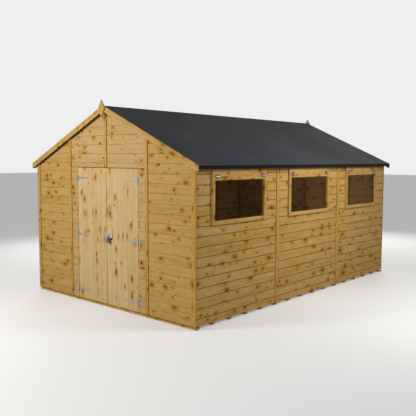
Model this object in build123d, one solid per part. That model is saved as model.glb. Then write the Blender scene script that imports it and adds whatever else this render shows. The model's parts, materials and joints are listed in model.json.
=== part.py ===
from build123d import *
import math
import os

# Timber apex shed with double doors, in millimetres.
# X runs along the front, Y goes into the depth, Z is up.
# The origin is on the ground under the middle of the shed.

# Overall size, over the cladding
WIDTH = 3000
LENGTH = 4500
APEX = 2420
SLOPE = 0.45

# Wall build-up
CLADDING = 12
STUD_DEPTH = 28
STUD_FACE = 34
JOINT_GAP = 2
BATTEN_GAP = 1
CLADDING_BOTTOM = 34
MID_RAIL = 880

# Base
JOIST_HEIGHT = 38
JOIST_WIDTH = 44
JOIST_PITCH = 300
FLOOR_THICK = 12
FLOOR_SETBACK = 6
FLOOR_TOP = JOIST_HEIGHT + FLOOR_THICK
SILL_HEIGHT = 20
SILL_DEPTH = 30

# Panel joints, measured from the middle of each wall
FRONT_JOINT = 735
SIDE_PANEL = 1500

# Double doors
DOORWAY_HALF = 586
DOORWAY_TOP = 1736
LEAF_BOTTOM = 36
LEAF_TOP = 1730
LEAF_SIDE_GAP = 5
LEAF_MEET_GAP = 3
LEDGE_THICK = 20
LEDGE_HEIGHT = 95
LEDGE_SETBACK = 30
BRACE_WIDTH = 70
HINGE_HEIGHTS = (157, 872, 1600)

# Hinges and lock
PIN_RADIUS = 3
PIN_CLEARANCE = 0.1
KNUCKLE_RADIUS = 6
PIN_OFFSET = 9
HINGE_PLATE = 3
PLATE_HEIGHT = 84
PLATE_WIDTH = 28
STRAP_LENGTH = 245
STRAP_HEIGHT = 30
STRAP_TIP = 18
KNUCKLE_GAP = 0.5
WEB_LEAD = 0.5
LOCK_HEIGHT = 901
HASP_HEIGHT = 62
HASP_THICK = 4
HASP_REACH = 76
HASP_ROUND = 10
CATCH_REACH = 114
CATCH_DEPTH = 20
CATCH_ROUND = 14
CATCH_BEVEL = 5
STAPLE_X = 58
STAPLE_BAR = 7
STAPLE_HALF = 12
STAPLE_PLAY = 1
SHACKLE_BAR = 3.5
SHACKLE_HALF = 17
SHACKLE_LEG = 28
SHACKLE_SEAT = 4
PADLOCK_WIDTH = 52
PADLOCK_HEIGHT = 41
PADLOCK_THICK = 22
PADLOCK_ROUND = 7

# Windows in the right wall, each a little forward of the middle of its panel
WINDOW_OFFSETS = (-11, -28, -42)
SASH_WIDTH = 988
SASH_BOTTOM = 1120
SASH_TOP = 1655
SASH_THICK = 38
SASH_PROUD = 26
STILE = 41
RAIL = 44
WINDOW_REST = 15
PANE_THICK = 4
PANE_SETBACK = 28
REBATE = 8
HEADER_PROUD = 22
SASH_PLAY = 2
WINDOW_HINGE_INSET = 77
WINDOW_HINGE_WIDTH = 64
WINDOW_HINGE_LEAF = 24
WINDOW_HINGE_THICK = 1.5
WINDOW_KNUCKLE = 5

# Cover strips
STRIP_THICK = 12
STRIP_WIDTH = 45
CORNER_STRIP = 60
SIDE_STRIP = 60

# Roof
ROOF_BATTEN = 44
ROOF_BATTEN_FACE = 28
ROOF_BOARD = 12
FELT = 3
PURLIN_X = (490, 980)
VERGE = 30
EAVES_HALF = 1575
FASCIA_BOTTOM = 1739
FASCIA_THICK = 12
BARGE_THICK = 18
BARGE_DEPTH = 63
BARGE_RISE = 2
RAFTER_WIDTH = 34
RAFTER_DEPTH = 60
COLLAR_BOTTOM = 2000
COLLAR_HEIGHT = 60

# Finials, kite-shaped boards over the joint of the bargeboards
FINIAL_TIP = 2553
FINIAL_WAIST = 2457
FINIAL_BOTTOM = 2340
FINIAL_HALF = 58

PLUMB = math.sqrt(1 + SLOPE ** 2)
HALF_WIDTH = WIDTH / 2
HALF_LENGTH = LENGTH / 2
INNER_X = HALF_WIDTH - CLADDING
INNER_Y = HALF_LENGTH - CLADDING
ROOM_X = INNER_X - STUD_DEPTH
ROOM_Y = INNER_Y - STUD_DEPTH
VERGE_Y = HALF_LENGTH + VERGE
STRIP_EDGE = HALF_WIDTH + STRIP_THICK


def roof_line(x, above=0):
    """Height of the underside of the roof at x, or of a layer this far above it, square to the slope."""
    return APEX - SLOPE * abs(x) + above * PLUMB


def block(x, y, z):
    """A box from three pairs of limits."""
    size = [max(pair) - min(pair) for pair in (x, y, z)]
    place = [(max(pair) + min(pair)) / 2 for pair in (x, y, z)]
    return Pos(*place) * Box(*size)


def gable_prism(points, y):
    """An outline in X and Z, carried from one Y to the other."""
    outline = Face(Polyline(*[(px, min(y), pz) for px, pz in points], close=True))
    return Solid.extrude(outline, Vector(0, max(y) - min(y), 0))


def under_roof(x, y, bottom, above=0):
    """A wall piece from this height up to the slope of the roof, or to a line above or below it."""
    x0, x1 = sorted(x)
    points = [(x0, bottom), (x1, bottom), (x1, roof_line(x1, above)), (x0, roof_line(x0, above))]
    return gable_prism(points, y)


def sloping(x, y, low, high):
    """A strip that follows one slope, between two heights above the roof line, square to it."""
    x0, x1 = sorted(x)
    points = [
        (x0, roof_line(x0, low)),
        (x1, roof_line(x1, low)),
        (x1, roof_line(x1, high)),
        (x0, roof_line(x0, high)),
    ]
    return gable_prism(points, y)


def mirrored_x(shapes):
    return [mirror(shape, Plane.YZ) for shape in shapes]


def mirrored_y(shapes):
    return [mirror(shape, Plane.XZ) for shape in shapes]


def save(name, shapes):
    export_step(Compound(children=list(shapes)), f"parts/{name}.step")


def sill_joist():
    """The front joist, with a low sill that comes out flush under the cladding."""
    back = -HALF_LENGTH + SILL_DEPTH
    joist = block((-INNER_X, INNER_X), (back, back + JOIST_WIDTH), (0, JOIST_HEIGHT))
    return joist + block((-STRIP_EDGE, STRIP_EDGE), (-HALF_LENGTH, back), (0, SILL_HEIGHT))


def base():
    rows = [JOIST_PITCH * k - HALF_LENGTH for k in range(1, int(LENGTH / JOIST_PITCH))]
    half = JOIST_WIDTH / 2
    joists = [block((-INNER_X, INNER_X), (y - half, y + half), (0, JOIST_HEIGHT)) for y in rows]
    sill = sill_joist()
    save("floor_joists", joists + [sill] + mirrored_y([sill]))
    ends = [-INNER_Y + FLOOR_SETBACK, -SIDE_PANEL / 2, SIDE_PANEL / 2, INNER_Y - FLOOR_SETBACK]
    panels = []
    for start, stop in zip(ends, ends[1:]):
        low = start + (JOINT_GAP / 2 if start > ends[0] else 0)
        high = stop - (JOINT_GAP / 2 if stop < ends[-1] else 0)
        panels.append(block((-INNER_X, INNER_X), (low, high), (JOIST_HEIGHT, FLOOR_TOP)))
    save("floor_panels", panels)


def gable_frame_bay(x, y, bottom, rails):
    """Rails of one bay of a gable wall, with the sloping top rail."""
    x0, x1 = x[0] + BATTEN_GAP, x[1] - BATTEN_GAP
    pieces = [block((x0, x1), y, (z, z + STUD_FACE)) for z in [bottom] + rails]
    pieces.append(sloping((x0, x1), y, -STUD_FACE, 0))
    return pieces


def front_wall():
    face = (-HALF_LENGTH, -INNER_Y)
    inside = (-INNER_Y, -ROOM_Y)
    half_gap = JOINT_GAP / 2
    joint = FRONT_JOINT
    corner_panel = under_roof((joint + half_gap, HALF_WIDTH), face, CLADDING_BOTTOM)
    door_side = block((DOORWAY_HALF, joint - half_gap), face, (CLADDING_BOTTOM, DOORWAY_TOP - half_gap))
    gable = under_roof((half_gap, joint - half_gap), face, DOORWAY_TOP + half_gap)
    for name, panel in (("front_wall", corner_panel), ("door_side", door_side), ("front_gable", gable)):
        save(f"{name}_right", [panel])
        save(f"{name}_left", mirrored_x([panel]))

    corner = INNER_X - STUD_FACE
    outer_stud = joint + half_gap + STUD_FACE
    inner_stud = joint - half_gap - STUD_FACE
    jamb = DOORWAY_HALF + STUD_FACE
    head = (DOORWAY_TOP + half_gap, DOORWAY_TOP + half_gap + STUD_FACE)
    pieces = [
        under_roof((corner, INNER_X), inside, FLOOR_TOP),
        under_roof((joint + half_gap, outer_stud), inside, FLOOR_TOP),
        under_roof((inner_stud, joint - half_gap), inside, FLOOR_TOP),
        block((DOORWAY_HALF, jamb), inside, (FLOOR_TOP, head[0] - BATTEN_GAP)),
        block((half_gap, inner_stud - BATTEN_GAP), inside, head),
        under_roof((half_gap, half_gap + STUD_FACE), inside, head[1] + BATTEN_GAP),
        block((jamb + BATTEN_GAP, inner_stud - BATTEN_GAP), inside, (FLOOR_TOP, FLOOR_TOP + STUD_FACE)),
        sloping((half_gap + STUD_FACE + BATTEN_GAP, inner_stud - BATTEN_GAP), inside, -STUD_FACE, 0),
    ]
    pieces += gable_frame_bay((outer_stud, corner), inside, FLOOR_TOP, [MID_RAIL])
    save("front_wall_frame", pieces + mirrored_x(pieces))


def back_wall():
    face = (INNER_Y, HALF_LENGTH)
    inside = (ROOM_Y, INNER_Y)
    half_gap = JOINT_GAP / 2
    panel = under_roof((half_gap, HALF_WIDTH), face, CLADDING_BOTTOM)
    save("back_wall_right", [panel])
    save("back_wall_left", mirrored_x([panel]))
    middle = HALF_WIDTH / 2
    studs = [
        (half_gap, half_gap + STUD_FACE),
        (middle - STUD_FACE / 2, middle + STUD_FACE / 2),
        (INNER_X - STUD_FACE, INNER_X),
    ]
    pieces = [under_roof(stud, inside, FLOOR_TOP) for stud in studs]
    for left, right in zip(studs, studs[1:]):
        pieces += gable_frame_bay((left[1], right[0]), inside, FLOOR_TOP, [MID_RAIL])
    save("back_wall_frame", pieces + mirrored_x(pieces))


def side_bay(y, rails):
    """Rails between two studs of the right wall, with the bevelled top rail."""
    y0, y1 = y[0] + BATTEN_GAP, y[1] - BATTEN_GAP
    inside = (ROOM_X, INNER_X)
    pieces = [block(inside, (y0, y1), (z, z + STUD_FACE)) for z in rails]
    pieces.append(under_roof(inside, (y0, y1), roof_line(INNER_X) - STUD_FACE))
    return pieces


def panel_ends(index):
    """The clear Y limits of one of the three panels of a side wall."""
    start = (index - 1.5) * SIDE_PANEL + JOINT_GAP / 2
    stop = (index - 0.5) * SIDE_PANEL - JOINT_GAP / 2
    return max(start, -INNER_Y), min(stop, INNER_Y)


def window_middle(index):
    return (index - 1) * SIDE_PANEL + WINDOW_OFFSETS[index]


def stud_ends(index):
    """The Y limits of a side panel's framing, which stops at the framing of the gable walls."""
    start, stop = panel_ends(index)
    return max(start, -ROOM_Y), min(stop, ROOM_Y)


PANEL_NAMES = ("front", "middle", "back")


def left_wall():
    pieces = []
    for index, name in enumerate(PANEL_NAMES):
        panel = under_roof((INNER_X, HALF_WIDTH), panel_ends(index), CLADDING_BOTTOM)
        save(f"left_wall_{name}", mirrored_x([panel]))
        start, stop = stud_ends(index)
        middle = (index - 1) * SIDE_PANEL
        studs = [
            (start, start + STUD_FACE),
            (middle - STUD_FACE / 2, middle + STUD_FACE / 2),
            (stop - STUD_FACE, stop),
        ]
        pieces += [under_roof((ROOM_X, INNER_X), stud, FLOOR_TOP) for stud in studs]
        for near, far in zip(studs, studs[1:]):
            pieces += side_bay((near[1], far[0]), [FLOOR_TOP, MID_RAIL])
    save("left_wall_frame", mirrored_x(pieces))


def right_wall():
    piers, headers, pieces = [], [], []
    half_sash = SASH_WIDTH / 2
    half_hole = half_sash - WINDOW_REST
    hole_bottom = SASH_BOTTOM + WINDOW_REST
    hole_top = SASH_TOP - WINDOW_REST
    skin = (INNER_X, HALF_WIDTH)
    inside = (ROOM_X, INNER_X)
    proud = HALF_WIDTH + HEADER_PROUD
    for index, name in enumerate(PANEL_NAMES):
        start, stop = panel_ends(index)
        middle = window_middle(index)
        save(f"right_wall_{name}", [block(skin, (start, stop), (CLADDING_BOTTOM, hole_bottom))])
        for y in ((start, middle - half_hole), (middle + half_hole, stop)):
            piers.append(under_roof(skin, y, hole_bottom))
        flush = under_roof(skin, (middle - half_hole, middle + half_hole), hole_top)
        above_sash = (middle - half_sash, middle + half_sash)
        board = under_roof((HALF_WIDTH, proud), above_sash, SASH_TOP + BATTEN_GAP)
        headers.append(flush + board)
        first, last = stud_ends(index)
        studs = [
            (first, first + STUD_FACE),
            (middle - half_hole - STUD_FACE, middle - half_hole),
            (middle + half_hole, middle + half_hole + STUD_FACE),
            (last - STUD_FACE, last),
        ]
        pieces += [under_roof(inside, stud, FLOOR_TOP) for stud in studs]
        pieces += side_bay((studs[0][1], studs[1][0]), [FLOOR_TOP])
        pieces += side_bay((studs[1][1], studs[2][0]), [FLOOR_TOP, hole_bottom - STUD_FACE])
        pieces += side_bay((studs[2][1], studs[3][0]), [FLOOR_TOP])
    save("window_piers", piers)
    save("window_headers", headers)
    save("right_wall_frame", pieces)


def windows():
    stiles, rails, panes, hinges = [], [], [], []
    half_sash = SASH_WIDTH / 2
    half_light = half_sash - STILE
    light = (SASH_BOTTOM + RAIL, SASH_TOP - RAIL)
    front = HALF_WIDTH + SASH_PROUD
    rest = (HALF_WIDTH, front)
    tongue = (front - SASH_THICK, HALF_WIDTH)
    inset = WINDOW_REST + SASH_PLAY
    half_tongue = half_sash - inset
    pane_x = (front - PANE_SETBACK - PANE_THICK, front - PANE_SETBACK)
    pane_y = half_light + REBATE
    pane_z = (light[0] - REBATE, light[1] + REBATE)
    for index in range(len(WINDOW_OFFSETS)):
        middle = window_middle(index)
        pocket = block(pane_x, (middle - pane_y, middle + pane_y), pane_z)
        panes.append(pocket)
        for side in (-1, 1):
            wide = (middle + side * half_light, middle + side * half_sash)
            narrow = (middle + side * half_light, middle + side * half_tongue)
            stile = block(rest, wide, (SASH_BOTTOM, SASH_TOP))
            stile += block(tongue, narrow, (SASH_BOTTOM + inset, SASH_TOP - inset))
            stiles.append(stile - pocket)
        for z, edge in ((SASH_BOTTOM, 1), (SASH_TOP, -1)):
            across = (middle - half_light, middle + half_light)
            rail = block(rest, across, (z, z + edge * RAIL))
            rail += block(tongue, across, (z + edge * inset, z + edge * RAIL))
            rails.append(rail - pocket)
        for side in (-1, 1):
            hinges.append(butt_hinge(middle + side * (half_sash - WINDOW_HINGE_INSET)))
    save("window_stiles", stiles)
    save("window_rails", rails)
    save("window_panes", panes)
    save("window_hinges", hinges)


def butt_hinge(y):
    """A pressed hinge across the joint of the sash and the header above it."""
    lower_x = HALF_WIDTH + SASH_PROUD
    upper_x = HALF_WIDTH + HEADER_PROUD
    face_x = lower_x + WINDOW_HINGE_THICK
    across = (y - WINDOW_HINGE_WIDTH / 2, y + WINDOW_HINGE_WIDTH / 2)
    middle = SASH_TOP + BATTEN_GAP / 2
    lower = block((lower_x, face_x), across, (SASH_TOP - WINDOW_HINGE_LEAF, middle))
    upper = block((upper_x, face_x), across, (SASH_TOP + BATTEN_GAP, SASH_TOP + WINDOW_HINGE_LEAF))
    barrel = Rot(90, 0, 0) * Cylinder(WINDOW_KNUCKLE, WINDOW_HINGE_WIDTH)
    return lower + upper + Pos(lower_x + WINDOW_KNUCKLE, y, middle) * barrel


def cover_strips():
    joints = []
    front = (-HALF_LENGTH - STRIP_THICK, -HALF_LENGTH)
    half = STRIP_WIDTH / 2
    joint_strip = under_roof((FRONT_JOINT - half, FRONT_JOINT + half), front, CLADDING_BOTTOM, -FELT)
    joints += [joint_strip] + mirrored_x([joint_strip])
    crown = [
        (-half, DOORWAY_TOP),
        (half, DOORWAY_TOP),
        (half, roof_line(half, -FELT)),
        (0, roof_line(0, -FELT)),
        (-half, roof_line(half, -FELT)),
    ]
    joints.append(gable_prism(crown, front))
    back_crown = [(x, CLADDING_BOTTOM if z == DOORWAY_TOP else z) for x, z in crown]
    joints += mirrored_y([gable_prism(back_crown, front)])
    side = (HALF_WIDTH, STRIP_EDGE)
    for y in (-SIDE_PANEL / 2, SIDE_PANEL / 2):
        strip = under_roof(side, (y - SIDE_STRIP / 2, y + SIDE_STRIP / 2), CLADDING_BOTTOM)
        joints += [strip] + mirrored_x([strip])
    save("joint_strips", joints)
    inner = STRIP_EDGE - CORNER_STRIP
    corner = under_roof((inner, STRIP_EDGE), front, CLADDING_BOTTOM, -FELT)
    back_corner = under_roof((inner, HALF_WIDTH), front, CLADDING_BOTTOM, -FELT)
    corners = [corner] + mirrored_y([back_corner])
    save("corner_strips", corners + mirrored_x(corners))


def verge_felt():
    """The felt at the front, turned down behind the bargeboards and back under to the wall."""
    end = (-VERGE_Y, FELT - VERGE_Y)
    soffit = (-VERGE_Y, -HALF_LENGTH - BATTEN_GAP)
    drop = sloping((0, EAVES_HALF), end, -FELT, ROOF_BATTEN + ROOF_BOARD + FELT)
    return drop + sloping((0, EAVES_HALF), soffit, -FELT, 0)


def roof():
    span = (FELT - VERGE_Y, VERGE_Y - FELT)
    board = (ROOF_BATTEN, ROOF_BATTEN + ROOF_BOARD)
    slab = sloping((0, EAVES_HALF - FELT), span, *board)
    save("roof_boards_right", [slab])
    save("roof_boards_left", mirrored_x([slab]))

    outer, inner = EAVES_HALF, EAVES_HALF - FELT
    top, under = ROOF_BATTEN + ROOF_BOARD + FELT, ROOF_BATTEN + ROOF_BOARD
    half_outline = [
        (outer, roof_line(outer, top)),
        (outer, FASCIA_BOTTOM),
        (inner, FASCIA_BOTTOM),
        (inner, roof_line(inner, under)),
    ]
    outline = [(0, roof_line(0, top))] + half_outline + [(0, roof_line(0, under))]
    outline += [(-x, z) for x, z in reversed(half_outline)]
    verges = [verge_felt()]
    verges += mirrored_x(verges)
    felt = gable_prism(outline, span)
    for verge in verges + mirrored_y(verges):
        felt += verge
    save("roof_felt", [felt])

    fascia = [
        (inner - FASCIA_THICK, FASCIA_BOTTOM),
        (inner, FASCIA_BOTTOM),
        (inner, roof_line(inner, ROOF_BATTEN)),
        (inner - FASCIA_THICK, roof_line(inner - FASCIA_THICK, ROOF_BATTEN)),
    ]
    strip = gable_prism(fascia, span)
    save("eaves_fascias", [strip] + mirrored_x([strip]))

    verge = (FELT - VERGE_Y, -HALF_LENGTH - BATTEN_GAP)
    verge_batten = sloping((BATTEN_GAP / 2, inner - FASCIA_THICK - BATTEN_GAP), verge, 0, ROOF_BATTEN)
    battens = [verge_batten] + mirrored_y([verge_batten])
    run = (-HALF_LENGTH, HALF_LENGTH)
    for x in (BATTEN_GAP / 2, *PURLIN_X, HALF_WIDTH - ROOF_BATTEN_FACE):
        battens.append(sloping((x, x + ROOF_BATTEN_FACE), run, 0, ROOF_BATTEN))
    save("roof_battens", battens + mirrored_x(battens))

    trusses = []
    for y in (-SIDE_PANEL / 2, SIDE_PANEL / 2):
        side = (y - RAFTER_WIDTH / 2, y + RAFTER_WIDTH / 2)
        rafter = sloping((BATTEN_GAP / 2, ROOM_X), side, -RAFTER_DEPTH, 0)
        trusses += [rafter] + mirrored_x([rafter])
        tops = (COLLAR_BOTTOM, COLLAR_BOTTOM + COLLAR_HEIGHT)
        reach = [(roof_line(0, -RAFTER_DEPTH) - z) / SLOPE - BATTEN_GAP for z in tops]
        collar = [(-reach[0], tops[0]), (reach[0], tops[0]), (reach[1], tops[1]), (-reach[1], tops[1])]
        trusses.append(gable_prism(collar, side))
    save("roof_trusses", trusses)


def gable_trim():
    top = ROOF_BATTEN + ROOF_BOARD + FELT + BARGE_RISE
    face = (-VERGE_Y - BARGE_THICK, -VERGE_Y)
    barge = sloping((BATTEN_GAP / 2, EAVES_HALF), face, top - BARGE_DEPTH, top)
    pair = [barge] + mirrored_x([barge])
    save("front_bargeboards", pair)
    save("back_bargeboards", mirrored_y(pair))
    kite = [(0, FINIAL_BOTTOM), (FINIAL_HALF, FINIAL_WAIST), (0, FINIAL_TIP), (-FINIAL_HALF, FINIAL_WAIST)]
    finial = gable_prism(kite, (face[0] - BARGE_THICK, face[0]))
    save("finials", [finial] + mirrored_y([finial]))


def strap(z):
    """The long arm of a T-hinge on the left leaf, with its knuckle around the pin."""
    pin_y = -HALF_LENGTH - PIN_OFFSET
    plate = (-HALF_LENGTH - HINGE_PLATE, -HALF_LENGTH)
    root, tip = -DOORWAY_HALF + LEAF_SIDE_GAP, -DOORWAY_HALF + STRAP_LENGTH
    half, half_tip = STRAP_HEIGHT / 2, STRAP_TIP / 2
    end = tip - half_tip
    outline = [(root, z - half), (end, z - half_tip), (end, z + half_tip), (root, z + half)]
    arm = gable_prism(outline, plate)
    arm += Pos(end, sum(plate) / 2, z) * Rot(90, 0, 0) * Cylinder(half_tip, HINGE_PLATE)
    barrel = Pos(-DOORWAY_HALF, pin_y, z) * Cylinder(KNUCKLE_RADIUS, STRAP_HEIGHT - 2 * KNUCKLE_GAP)
    web_y = (pin_y, -HALF_LENGTH)
    web_z = (z - half + KNUCKLE_GAP, z + half - KNUCKLE_GAP)
    web = block((-DOORWAY_HALF, root + HINGE_PLATE), (pin_y - WEB_LEAD, pin_y + HINGE_PLATE), web_z)
    web += block((root, root + HINGE_PLATE), web_y, web_z)
    bore = Pos(-DOORWAY_HALF, pin_y, z) * Cylinder(PIN_RADIUS + PIN_CLEARANCE, STRAP_HEIGHT)
    return arm + web + barrel - bore


def hinge_plate(z):
    """The jamb plate of a T-hinge beside the left leaf, with two knuckles and the pin."""
    pin_y = -HALF_LENGTH - PIN_OFFSET
    edge = -DOORWAY_HALF - KNUCKLE_RADIUS
    half, inner = PLATE_HEIGHT / 2, STRAP_HEIGHT / 2
    against_jamb = (-HALF_LENGTH - HINGE_PLATE, -HALF_LENGTH)
    plate = block((edge - PLATE_WIDTH, edge), against_jamb, (z - half, z + half))
    pin = Pos(-DOORWAY_HALF, pin_y, z) * Cylinder(PIN_RADIUS, PLATE_HEIGHT)
    result = plate + pin
    for sign in (-1, 1):
        low, high = sorted((z + sign * inner, z + sign * half))
        knuckle = Pos(-DOORWAY_HALF, pin_y, (low + high) / 2) * Cylinder(KNUCKLE_RADIUS, high - low)
        web = block((edge - HINGE_PLATE, -DOORWAY_HALF), (pin_y - WEB_LEAD, pin_y + HINGE_PLATE), (low, high))
        web += block((edge - HINGE_PLATE, edge), (pin_y, -HALF_LENGTH), (low, high))
        result += knuckle + web
    return result


def brace(low, high, x):
    """A diagonal brace that rises from the hinge side, between two ledges."""
    x0, x1 = x
    run, rise = x1 - x0, high - low
    slant = BRACE_WIDTH * math.hypot(run, rise) / rise
    outline = [(x0, low), (x0 + slant, low), (x1, high), (x1 - slant, high)]
    return gable_prism(outline, (-INNER_Y, -INNER_Y + LEDGE_THICK))


def doors():
    left, right = -DOORWAY_HALF + LEAF_SIDE_GAP, -LEAF_MEET_GAP
    boards = block((left, right), (-HALF_LENGTH, -INNER_Y), (LEAF_BOTTOM, LEAF_TOP))
    ledge_x = (left + LEDGE_SETBACK, right - LEDGE_SETBACK)
    ledge_y = (-INNER_Y, -INNER_Y + LEDGE_THICK)
    half = LEDGE_HEIGHT / 2
    bracing = [block(ledge_x, ledge_y, (z - half, z + half)) for z in HINGE_HEIGHTS]
    for low, high in zip(HINGE_HEIGHTS, HINGE_HEIGHTS[1:]):
        bracing.append(brace(low + half + BATTEN_GAP, high - half - BATTEN_GAP, ledge_x))
    straps = [strap(z) for z in HINGE_HEIGHTS]
    plates = [hinge_plate(z) for z in HINGE_HEIGHTS]
    for name, shapes in (("boards", [boards]), ("bracing", bracing), ("straps", straps)):
        save(f"left_door_{name}", shapes)
        save(f"right_door_{name}", mirrored_x(shapes))
    save("hinge_plates", plates + mirrored_x(plates))


def lock():
    """Hasp and padlock, divided at the meeting line of the doors."""
    face = -HALF_LENGTH
    edge = LEAF_MEET_GAP + BATTEN_GAP
    band = (LOCK_HEIGHT - HASP_HEIGHT / 2, LOCK_HEIGHT + HASP_HEIGHT / 2)
    hasp = block((-HASP_REACH, -edge), (face - HASP_THICK, face), band)
    outer_corners = hasp.edges().filter_by(Axis.Y).group_by(Axis.X)[0]
    save("hasp", [fillet(outer_corners, HASP_ROUND)])

    catch = block((edge, CATCH_REACH), (face - CATCH_DEPTH, face), band)
    catch = fillet(catch.edges().filter_by(Axis.Y).group_by(Axis.X)[-1], CATCH_ROUND)
    catch = chamfer(catch.faces().sort_by(Axis.Y)[0].edges(), CATCH_BEVEL)
    bar_y = face - CATCH_DEPTH - SHACKLE_BAR - STAPLE_PLAY
    play = SHACKLE_BAR + STAPLE_PLAY
    bail_x = (STAPLE_X - STAPLE_BAR / 2, STAPLE_X + STAPLE_BAR / 2)
    bail_y = (bar_y - play - STAPLE_BAR / 2, face - CATCH_DEPTH)
    bail = block(bail_x, bail_y, (LOCK_HEIGHT - STAPLE_HALF, LOCK_HEIGHT + STAPLE_HALF))
    bail -= block(bail_x, (bar_y - play, bar_y + play), (LOCK_HEIGHT - play, LOCK_HEIGHT + play))
    save("staple", [catch + bail])

    arch_z = LOCK_HEIGHT - SHACKLE_HALF
    body_top = arch_z - SHACKLE_LEG
    body_y = (bar_y - PADLOCK_THICK / 2, bar_y + PADLOCK_THICK / 2)
    body_x = (STAPLE_X - PADLOCK_WIDTH / 2, STAPLE_X + PADLOCK_WIDTH / 2)
    body = block(body_x, body_y, (body_top - PADLOCK_HEIGHT, body_top))
    padlock = fillet(body.edges().filter_by(Axis.Y), PADLOCK_ROUND)
    leg = Cylinder(SHACKLE_BAR, SHACKLE_LEG + SHACKLE_SEAT)
    leg_z = arch_z - (SHACKLE_LEG + SHACKLE_SEAT) / 2
    for side in (-1, 1):
        padlock += Pos(STAPLE_X + side * SHACKLE_HALF, bar_y, leg_z) * leg
    arch = Pos(STAPLE_X, bar_y, arch_z) * Rot(90, 0, 0) * Torus(SHACKLE_HALF, SHACKLE_BAR)
    reach = SHACKLE_HALF + 2 * SHACKLE_BAR
    upper = block(
        (STAPLE_X - reach, STAPLE_X + reach),
        (bar_y - reach, bar_y + reach),
        (arch_z, arch_z + reach),
    )
    save("padlock", [padlock + (arch & upper)])


os.makedirs("parts", exist_ok=True)
base()
front_wall()
back_wall()
left_wall()
right_wall()
windows()
cover_strips()
roof()
gable_trim()
doors()
lock()
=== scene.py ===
import json
import math
import random

import bmesh
import bpy
from mathutils import Euler, Matrix, Vector


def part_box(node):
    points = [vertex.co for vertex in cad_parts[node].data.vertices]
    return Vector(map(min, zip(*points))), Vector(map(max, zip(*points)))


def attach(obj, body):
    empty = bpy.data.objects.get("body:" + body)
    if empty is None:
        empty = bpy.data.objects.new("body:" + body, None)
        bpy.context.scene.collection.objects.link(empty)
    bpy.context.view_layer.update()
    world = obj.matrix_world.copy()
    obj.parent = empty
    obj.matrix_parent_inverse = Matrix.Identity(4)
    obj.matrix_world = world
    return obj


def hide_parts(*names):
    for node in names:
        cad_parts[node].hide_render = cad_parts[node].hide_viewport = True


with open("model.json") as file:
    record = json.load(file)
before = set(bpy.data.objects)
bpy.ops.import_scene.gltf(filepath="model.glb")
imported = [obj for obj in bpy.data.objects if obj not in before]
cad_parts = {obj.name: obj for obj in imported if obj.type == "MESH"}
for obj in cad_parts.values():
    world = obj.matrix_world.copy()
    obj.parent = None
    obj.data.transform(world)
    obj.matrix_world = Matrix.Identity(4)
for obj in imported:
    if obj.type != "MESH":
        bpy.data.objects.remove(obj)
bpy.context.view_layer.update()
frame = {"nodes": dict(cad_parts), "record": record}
NODES = frame["nodes"]
RECORD = frame["record"]
BODY_OF = {node: body for body, nodes in RECORD["behaviour"]["bodies"].items() for node in nodes}
SLOT_OF = {part["node"]: part["material_slot"] for part in RECORD["subparts"]}

FRONT = Vector((0, -1, 0))
RIGHT = Vector((1, 0, 0))
UP = Vector((0, 0, 1))

# Boards in metres: their courses, the open joints between them, their eased arrises, and the tongue,
# whose faces lie at these shares of the thickness
COURSE = 0.112
DOOR_BOARDS = 6
FLOOR_COURSE = 0.121
ROOF_COURSE = 0.114
BOARD_THICK = 0.012
BOARD_GAP = 0.0055
FRONT_GAP = 0.0022
INNER_GAP = 0.002
DOOR_GAP = 0.0008
BOARD_ARRIS = 0.0012
DOOR_ARRIS = 0.0006
TONGUE_SHARES = (0.48, 0.76)
TONGUE_REACH = 0.005
TONGUE_PLAY = 0.0004
ROOF_ANGLE = math.atan(0.45)

# Laying the boards: how much thicker a panel is made so that it cuts them cleanly, how far they run
# past it before the cut, and how near two corners lie to be made one
CUTTER_SPREAD = 0.02
BOARD_OVERRUN = 0.01
PANEL_WELD = 0.0001
BOARD_WELD = 1e-6
SOLID_WELD = 1e-5

# Faces of a board: those that face along it are its ends, and those that lie this far behind its front
# and don't look along it or back are the walls of its joints, which are painted in shade
END_FACING = 0.85
SIDE_FACING = 0.5
JOINT_DEPTH = 0.002

# Plain timbers
TRIM_ARRIS = 0.0015
ARRIS_STEPS = 2
FLAT_ANGLE = math.radians(1)
SHARP_ANGLE = math.radians(20)
BOARDED = ("floor_panels", "roof_boards_left", "roof_boards_right")

# Knots: the cells in metres that may hold one knot or one small pin knot, the size of pin knots, how
# far a halo reaches in knot radii, and its colours from the heart out with how well they cover. The
# waves in a knot's edge are 18 mm long
KNOT_CELL = (0.21, 0.09, 1)
PIN_CELL = (0.13, 0.07, 1)
PIN_SHARE = 0.5
PIN_SIZE = (0.005, 0.010)
KNOT_REACH = 3.7
KNOT_EDGE = 55
KNOT_RAGGED = (0.030, 0.018, 0)
KNOT_FAINTEST = 0.6
KNOT_RINGS = (
    (0.0, "442600", 0.98),
    (0.12, "744600", 0.98),
    (0.24, "966200", 0.97),
    (0.34, "AC7800", 0.76),
    (0.58, "B68610", 0.46),
    (1.0, "C0983C", 0),
)

# Branches grow in whorls, so knots come in groups: how many groups to a cell, and how the share of
# knots that are kept goes from between two groups to within one
WHORLS = 0.55
WHORL_EDGES = (0.35, 0.65)
WHORL_CROWD = (0.15, 1.9)

# Grain: growth rings, stains and fibres, as how many fit in a metre along, across and into a board.
# Fibres are under 1 mm wide; drawn at 5 mm so that they show
RING_STRETCH = (1.4, 22, 22)
PATCH_STRETCH = (7, 26, 26)
FIBRE_STRETCH = (5, 190, 190)

# What varies in it: the shift of a board's pattern, the bend of the rings round a knot, how far boards,
# stains and fibres differ in tone, and how dark the ends are
BOARD_SHIFT = (40, 40, 40)
RING_BEND = -0.3
BOARD_TONES = 0.16
PATCH_TONES = 0.7
FIBRE_TONES = (0.93, 1.05)
FIBRE_EDGES = (0.3, 0.7)
END_GRAIN = 0.45

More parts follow.
